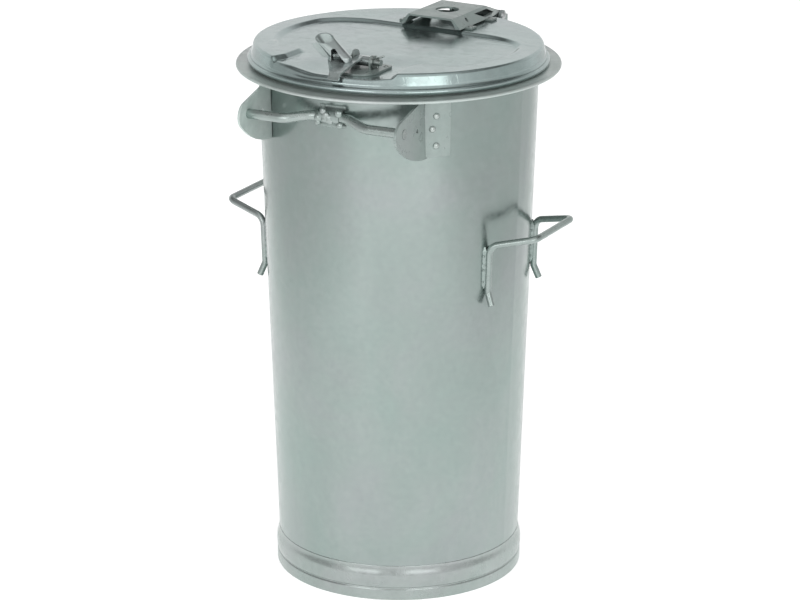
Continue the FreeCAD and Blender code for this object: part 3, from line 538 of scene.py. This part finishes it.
def build_saddle_welds():
    """A bead along the saddle's top edge and its bottom edge, and weld drops over its face."""
    centre = (SADDLE_LOW + SADDLE_HIGH) / 2
    azimuth = math.atan2(centre.y, centre.x)
    radius = wall_r(centre.z)
    for i, side in enumerate((-1, 1)):
        z = centre.z + side * SADDLE_BEAD_RISE * MM
        points = []
        for k in range(SADDLE_BEAD_DROPS):
            shift = (k - SADDLE_BEAD_DROPS // 2) * SADDLE_BEAD_PITCH * MM / radius
            points.append(wall_point(azimuth + shift, z, SADDLE_BEAD_OUT))
        bead = bead_chain("weld_saddle_%d" % i, points, SADDLE_BEAD_R, SADDLE_BEAD_SEED + i)
        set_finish(bead, "plate")
    draw = random.Random(SADDLE_FACE_DRAW)
    face_out = -SADDLE_LOW.y - radius
    spatter = []
    for k in range(SADDLE_FACE_DROPS):
        shift = draw.uniform(-SADDLE_FACE_HALF_WIDTH, SADDLE_FACE_HALF_WIDTH) * MM / radius
        rise = draw.uniform(-SADDLE_FACE_HALF_HEIGHT, SADDLE_FACE_HALF_HEIGHT) * MM
        spatter.append(wall_point(azimuth + shift, centre.z + rise, face_out - SADDLE_FACE_SINK))
    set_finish(bead_chain("weld_saddle_face", spatter, SADDLE_FACE_R, SADDLE_FACE_SEED), "rod")


# ------------------------------------------------------------------------------------- materials

class Nodes:
    """Short calls for building the node tree of a material or a world."""

    def __init__(self, owner):
        owner.use_nodes = True
        self.tree = owner.node_tree
        self.tree.nodes.clear()

    def add(self, kind, inputs=(), **settings):
        node = self.tree.nodes.new(kind)
        for key, value in settings.items():
            setattr(node, key, value)
        for key, value in dict(inputs).items():
            if isinstance(value, bpy.types.NodeSocket):
                self.tree.links.new(value, node.inputs[key])
            else:
                node.inputs[key].default_value = value
        return node

    def ramp(self, value, stops):
        """Colour ramp through (place, level) stops, each level a grey or a colour."""
        node = self.add("ShaderNodeValToRGB", {"Fac": value})
        elements = node.color_ramp.elements
        while len(elements) < len(stops):
            elements.new(0.5)
        for element, (place, level) in zip(elements, stops):
            element.position = place
            element.color = (level, level, level, 1) if isinstance(level, float) else (*level, 1)
        return node.outputs["Color"]

    def math(self, operation, a, b=0.5):
        return self.add("ShaderNodeMath", {0: a, 1: b}, operation=operation).outputs[0]

    def fade(self, value, start, stop, before=0.0, after=1.0):
        """Smooth step from one level at start to another at stop."""
        node = self.add("ShaderNodeMapRange", {
            "Value": value, "From Min": start, "From Max": stop, "To Min": before, "To Max": after,
        }, interpolation_type="SMOOTHSTEP")
        return node.outputs["Result"]

    def noise(self, vector, scale, detail=4.0, roughness=0.55, distortion=0.0):
        node = self.add("ShaderNodeTexNoise", {
            "Vector": vector, "Scale": scale, "Detail": detail,
            "Roughness": roughness, "Distortion": distortion,
        })
        return node.outputs["Fac"]

    def mix(self, kind, fac, a, b):
        node = self.add("ShaderNodeMix", {0: fac, 6: a, 7: b}, data_type="RGBA", blend_type=kind)
        return node.outputs[2]

    def grey(self, level):
        node = self.add("ShaderNodeCombineColor", {"Red": level, "Green": level, "Blue": level})
        return node.outputs["Color"]


# Shares of the parts that make up the zinc's tone and its roughness
CLOUD_SHARE = 0.62
MOTTLE_SHARE = 0.38
DULL_SHARE = 0.6
FACET_SHARE = 0.4

# Crystals per metre, and how far their outlines are bent
CRYSTAL_SCALE = 110.0
BEND_X = 0.012
BEND_Y = 0.01

# Relief: the soft pebbling and the grain against the waviness, and the whole bump
PEBBLE_HEIGHT = 0.035
GRAIN_HEIGHT = 0.003
BUMP_STRENGTH = 0.5
BUMP_DISTANCE = 0.0012
EDGE_RADIUS = 0.0005

# Scratches: their direction and stretch, and how much they lighten the tone
SCRATCH_TURN = math.radians(37)
SCRATCH_SCALE = (14.0, 420.0, 60.0)
SCRATCH_TONE = 4
SCRATCH_TONE_MOST = 0.6

# Reach of the ambient occlusion that paints shade into crevices and hollows
PAINTED_SHADE_REACH = 0.014
TONE_STOPS = (0.28, 0.5, 0.72)
STAINS = [(0.36, (0.955, 1.0, 0.985)), (0.52, (1.0, 1.0, 1.0)), (0.66, (1.035, 0.99, 1.02))]


def galvanised(name, tones, rough, spangle, waviness, scratches, stretch=(1, 1, 1), metallic=0.88,
               painted_crevice_shade=0.0):
    """Hot-dip zinc: cloudy tone, faint crystal spangle, dull patches, soft waves and fine scratches.

    tones runs from dark to light, rough from low to high.
    """
    material = bpy.data.materials.new(name)
    n = Nodes(material)
    place = n.add("ShaderNodeTexCoord").outputs["Object"]
    long_place = n.add("ShaderNodeMapping", {"Vector": place, "Scale": stretch}).outputs["Vector"]
    cloud = n.noise(long_place, scale=9.0, detail=5.0, roughness=0.6, distortion=0.4)
    mottle = n.noise(place, scale=120.0, detail=6.0, roughness=0.65, distortion=0.2)
    warp = n.noise(place, scale=60.0, detail=3.0)
    bend = n.add("ShaderNodeCombineXYZ", {
        "X": n.math("MULTIPLY", warp, BEND_X), "Y": n.math("MULTIPLY", cloud, BEND_Y),
    }).outputs["Vector"]
    bent = n.add("ShaderNodeVectorMath", {0: place, 1: bend}, operation="ADD").outputs["Vector"]
    crystals = n.add("ShaderNodeTexVoronoi", {"Vector": bent, "Scale": CRYSTAL_SCALE, "Randomness": 1.0})
    facet = n.add("ShaderNodeSeparateColor", {"Color": crystals.outputs["Color"]}).outputs["Red"]
    tone = n.math("ADD", n.math("MULTIPLY", cloud, CLOUD_SHARE), n.math("MULTIPLY", mottle, MOTTLE_SHARE))
    tone = n.math("ADD", tone, n.math("MULTIPLY", n.math("SUBTRACT", facet, 0.5), spangle))
    colour = n.ramp(tone, list(zip(TONE_STOPS, tones)))
    stain = n.ramp(n.noise(place, scale=6.5, detail=4.0, roughness=0.6, distortion=0.5), STAINS)
    colour = n.mix("MULTIPLY", 1.0, colour, stain)

    dull = n.noise(long_place, scale=22.0, detail=6.0, roughness=0.7, distortion=0.6)
    rough_mix = n.math("ADD", n.math("MULTIPLY", dull, DULL_SHARE), n.math("MULTIPLY", facet, FACET_SHARE))
    roughness = n.ramp(rough_mix, [(0.3, rough[0]), (0.7, rough[1])])

    lines = n.add("ShaderNodeMapping", {
        "Vector": place, "Rotation": (0.0, 0.0, SCRATCH_TURN), "Scale": SCRATCH_SCALE,
    }).outputs["Vector"]
    line = n.ramp(n.noise(lines, scale=1.0, detail=2.0, roughness=0.5), [(0.64, 0.0), (0.72, 1.0)])
    waves = n.noise(place, scale=16.0, detail=2.0, roughness=0.4)
    pebbles = n.noise(place, scale=110.0, detail=2.0, roughness=0.5)
    grain = n.noise(place, scale=900.0, detail=3.0, roughness=0.6)
    height = n.math("ADD", n.math("MULTIPLY", waves, waviness), n.math("MULTIPLY", pebbles, PEBBLE_HEIGHT))
    height = n.math("ADD", height, n.math("MULTIPLY", grain, GRAIN_HEIGHT))
    height = n.math("SUBTRACT", height, n.math("MULTIPLY", line, scratches))
    edge = n.add("ShaderNodeBevel", {"Radius": EDGE_RADIUS}, samples=4).outputs["Normal"]
    bump = n.add("ShaderNodeBump", {
        "Strength": BUMP_STRENGTH, "Distance": BUMP_DISTANCE, "Height": height, "Normal": edge,
    }).outputs["Normal"]
    marked = n.math("MULTIPLY", line, min(scratches * SCRATCH_TONE, SCRATCH_TONE_MOST))
    colour = n.mix("MIX", marked, colour, (*tones[-1], 1))
    # Painted shade: the colour is darkened in crevices and hollows by an ambient occlusion node
    if painted_crevice_shade:
        occlusion_shade = n.add("ShaderNodeAmbientOcclusion", {"Distance": PAINTED_SHADE_REACH}, samples=4).outputs["AO"]
        colour = n.mix("MULTIPLY", 1.0, colour, n.ramp(occlusion_shade, [(0.30, 1.0 - painted_crevice_shade), (0.80, 1.0)]))
    shader = n.add("ShaderNodeBsdfPrincipled", {
        "Base Color": colour, "Roughness": roughness, "Metallic": metallic, "Normal": bump,
    })
    n.add("ShaderNodeOutputMaterial", {"Surface": shader.outputs["BSDF"]})
    return material


MATERIALS = {
    "wall": galvanised(
        "zinc_wall", ((0.286, 0.340, 0.324), (0.318, 0.374, 0.358), (0.356, 0.410, 0.396)),
        rough=(0.19, 0.27), spangle=0.03, waviness=0.30, scratches=0.008, stretch=(1.0, 1.0, 0.45)),
    "lid": galvanised(
        "zinc_lid", ((0.318, 0.386, 0.380), (0.360, 0.434, 0.428), (0.405, 0.482, 0.476)),
        rough=(0.14, 0.24), spangle=0.05, waviness=0.25, scratches=0.10),
    "collar": galvanised(
        "zinc_collar", ((0.44, 0.495, 0.475), (0.50, 0.56, 0.54), (0.57, 0.625, 0.605)),
        rough=(0.30, 0.42), spangle=0.04, waviness=0.10, scratches=0.03, metallic=0.45),
    "foot_ring": galvanised(
        "zinc_foot_ring", ((0.295, 0.338, 0.324), (0.345, 0.39, 0.376), (0.405, 0.45, 0.437)),
        rough=(0.18, 0.28), spangle=0.04, waviness=0.22, scratches=0.04),
    "plate": galvanised(
        "zinc_plate", ((0.262, 0.315, 0.300), (0.310, 0.366, 0.350), (0.37, 0.425, 0.408)),
        rough=(0.26, 0.38), spangle=0.04, waviness=0.15, scratches=0.04, metallic=0.35, painted_crevice_shade=0.45),
    # Lighter copy of zinc_plate for the left cheek only: painted light standing in for the light its inner
    # face lacks
    "plate_painted_lit": galvanised(
        "zinc_plate_painted_lit", ((0.44, 0.50, 0.482), (0.56, 0.62, 0.60), (0.68, 0.74, 0.72)),
        rough=(0.34, 0.46), spangle=0.05, waviness=0.15, scratches=0.03, metallic=0.20),
    "rod": galvanised(
        "zinc_rod", ((0.28, 0.328, 0.314), (0.34, 0.390, 0.375), (0.42, 0.470, 0.455)),
        rough=(0.22, 0.34), spangle=0.04, waviness=0.20, scratches=0.02),
    "fastener": galvanised(
        "zinc_fastener", ((0.36, 0.40, 0.385), (0.44, 0.48, 0.465), (0.53, 0.57, 0.555)),
        rough=(0.22, 0.34), spangle=0.05, waviness=0.15, scratches=0.02, painted_crevice_shade=0.5),
    "latch": galvanised(
        "zinc_latch", ((0.42, 0.48, 0.47), (0.50, 0.565, 0.555), (0.60, 0.665, 0.655)),
        rough=(0.16, 0.26), spangle=0.06, waviness=0.30, scratches=0.06, metallic=0.80, painted_crevice_shade=0.80),
}

# The studio light hardly reaches the left cheek's inner face, so that cheek gets a lighter copy of the
# plate material: painted light, not a different finish.
PAINTED_LIGHT_FINISH = {"bar_cheek_left": "plate_painted_lit"}


def paint(obj, material):
    if not obj.data.materials:
        obj.data.materials.append(material)
    for slot in obj.material_slots:
        slot.material = material


def paint_everything():
    """Give every CAD node the finish of its record's slot, except the left cheek, which gets a lighter
    copy of the plate material as painted light, and every new piece its own slot's.
    """
    for part in frame["record"]["subparts"]:
        name = part["node"]
        finish = PAINTED_LIGHT_FINISH.get(name, part["material_slot"])
        paint(frame["nodes"][name], MATERIALS[finish])
    for obj in bpy.context.scene.objects:
        if "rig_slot" in obj:
            paint(obj, MATERIALS[obj["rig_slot"]])


# ---------------------------------------------------------------------------------------- studio

CAMERA_AZIMUTH = math.radians(30.0)
CAMERA_DISTANCE = 4.1017
CAMERA_HEIGHT = 1.6942
CAMERA_PITCH = 18.20
CAMERA_LENS = 153.18
CAMERA_SENSOR = 36.0
CAMERA_SHIFT_X = 0.0016
CAMERA_CLIP_END = 60.0

# Two softboxes, each at an azimuth from the camera's own
KEY_LIGHTS = (("key_left", -32.0), ("key_right", 21.0))
KEY_DISTANCE = 3.0
KEY_HEIGHT = 1.10
KEY_SIZE = (1.6, 1.1)
KEY_POWER = 10.0
KEY_AIM_Z = 0.55

# Floor: half its side, the grey its colour and glow fade to between two distances from the camera's axis,
# and how strongly it glows as painted light
FLOOR_HALF = 14.0
FLOOR_FADE = (0.70, 1.6)
FLOOR_SIDE_LEVEL = 0.68
FLOOR_GLOW = 0.62

# Studio room: heights are the upward part of a direction, caps are azimuth, elevation, inner and
# outer radius in degrees
LOW_WALL = (0.68, 0.44)
CEILING = (0.76, 0.88)
CEILING_LEVEL = 0.42
CANOPY = (0.0, 48.0, 34.0, 52.0)
LEFT_DIM = (-90.0, 26.0, 22.0, 44.0)
LEFT_DIM_LEVEL = 0.50
RIGHT_DIM = (92.0, 26.0, 22.0, 44.0)
RIGHT_DIM_LEVEL = 0.36
ROOM_LIGHT = 0.80
ROOM_SHADE = 0.12


def round_camera(azimuth_from_camera, distance, height):
    """Point around the bin, at an azimuth counted from the camera's own."""
    a = CAMERA_AZIMUTH + math.radians(azimuth_from_camera)
    return Vector((distance * math.sin(a), -distance * math.cos(a), height))


def build_camera():
    data = bpy.data.cameras.new("camera")
    data.lens = CAMERA_LENS
    data.sensor_width = CAMERA_SENSOR
    data.shift_x = CAMERA_SHIFT_X
    data.clip_end = CAMERA_CLIP_END
    camera = bpy.data.objects.new("camera", data)
    camera.location = round_camera(0.0, CAMERA_DISTANCE, CAMERA_HEIGHT)
    camera.rotation_euler = (math.radians(90.0 - CAMERA_PITCH), 0.0, CAMERA_AZIMUTH)
    bpy.context.scene.collection.objects.link(camera)
    bpy.context.scene.camera = camera


def build_softboxes():
    """Rectangular studio lights aimed at the bin's axis."""
    for name, azimuth in KEY_LIGHTS:
        data = bpy.data.lights.new(name, "AREA")
        data.shape = "RECTANGLE"
        data.size, data.size_y = KEY_SIZE
        data.energy = KEY_POWER
        light = bpy.data.objects.new(name, data)
        light.location = round_camera(azimuth, KEY_DISTANCE, KEY_HEIGHT)
        aim = Vector((0, 0, KEY_AIM_Z)) - light.location
        light.rotation_euler = aim.to_track_quat("-Z", "Y").to_euler()
        bpy.context.scene.collection.objects.link(light)


def build_floor():
    """Pale studio floor with a faint cloudy tone that glows as painted light, its colour and glow fading
    to grey on both sides of the camera's axis.
    """
    far = FLOOR_HALF
    corners = [(-far, -far, 0), (far, -far, 0), (far, far, 0), (-far, far, 0)]
    obj = new_mesh_object("floor", corners, [(0, 1, 2, 3)])
    material = bpy.data.materials.new("floor_paper_glowing")
    n = Nodes(material)
    place = n.add("ShaderNodeTexCoord").outputs["Object"]
    across = n.add("ShaderNodeVectorMath", {
        0: place, 1: (math.cos(CAMERA_AZIMUTH), math.sin(CAMERA_AZIMUTH), 0.0),
    }, operation="DOT_PRODUCT").outputs["Value"]
    fade = n.fade(n.math("ABSOLUTE", across), *FLOOR_FADE, before=1.0, after=FLOOR_SIDE_LEVEL)
    cloud = n.noise(place, scale=1.3, detail=3.0)
    paper = n.ramp(cloud, [(0.3, (0.90, 0.90, 0.90)), (0.7, (0.93, 0.93, 0.93))])
    shader = n.add("ShaderNodeBsdfPrincipled", {
        "Base Color": n.mix("MULTIPLY", 1.0, paper, n.grey(fade)),
        "Roughness": 0.9,
        "Specular IOR Level": 0.1,
        "Emission Color": (1.0, 1.0, 1.0, 1.0),
        "Emission Strength": n.math("MULTIPLY", fade, FLOOR_GLOW),
    })
    n.add("ShaderNodeOutputMaterial", {"Surface": shader.outputs["BSDF"]})
    paint(obj, material)


def build_world():
    """Studio room: pale low wall and front canopy, a grey ceiling, and dimmer at both sides."""
    world = bpy.data.worlds.new("studio")
    n = Nodes(world)
    place = n.add("ShaderNodeTexCoord").outputs["Generated"]
    upward = n.add("ShaderNodeSeparateXYZ", {"Vector": place}).outputs["Z"]

    def cap(azimuth, elevation, inner, outer):
        """Soft round patch of sky about a direction, its azimuth counted from the camera's own."""
        flat = round_camera(azimuth, math.cos(math.radians(elevation)), 0.0)
        direction = (flat.x, flat.y, math.sin(math.radians(elevation)))
        near = n.add("ShaderNodeVectorMath", {0: place, 1: direction}, operation="DOT_PRODUCT")
        return n.fade(near.outputs["Value"], math.cos(math.radians(outer)), math.cos(math.radians(inner)))

    light = n.math("MAXIMUM", n.fade(upward, *LOW_WALL), cap(*CANOPY))
    light = n.math("MAXIMUM", light, n.math("MULTIPLY", n.fade(upward, *CEILING), CEILING_LEVEL))
    left = n.math("MULTIPLY", cap(*LEFT_DIM), LEFT_DIM_LEVEL)
    right = n.math("MULTIPLY", cap(*RIGHT_DIM), RIGHT_DIM_LEVEL)
    light = n.math("MULTIPLY", light, n.math("SUBTRACT", 1.0, n.math("ADD", left, right)))
    level = n.math("ADD", n.math("MULTIPLY", light, ROOM_LIGHT), ROOM_SHADE)
    back = n.add("ShaderNodeBackground", {"Color": n.grey(level)})
    n.add("ShaderNodeOutputWorld", {"Surface": back.outputs["Background"]})
    bpy.context.scene.world = world


build_lid()
build_collar()
build_foot_ring()
build_handle_welds()
build_back_seam()
build_saddle_welds()
paint_everything()
build_camera()
build_floor()
build_world()
build_softboxes()
bpy.context.scene.view_settings.view_transform = "Standard"
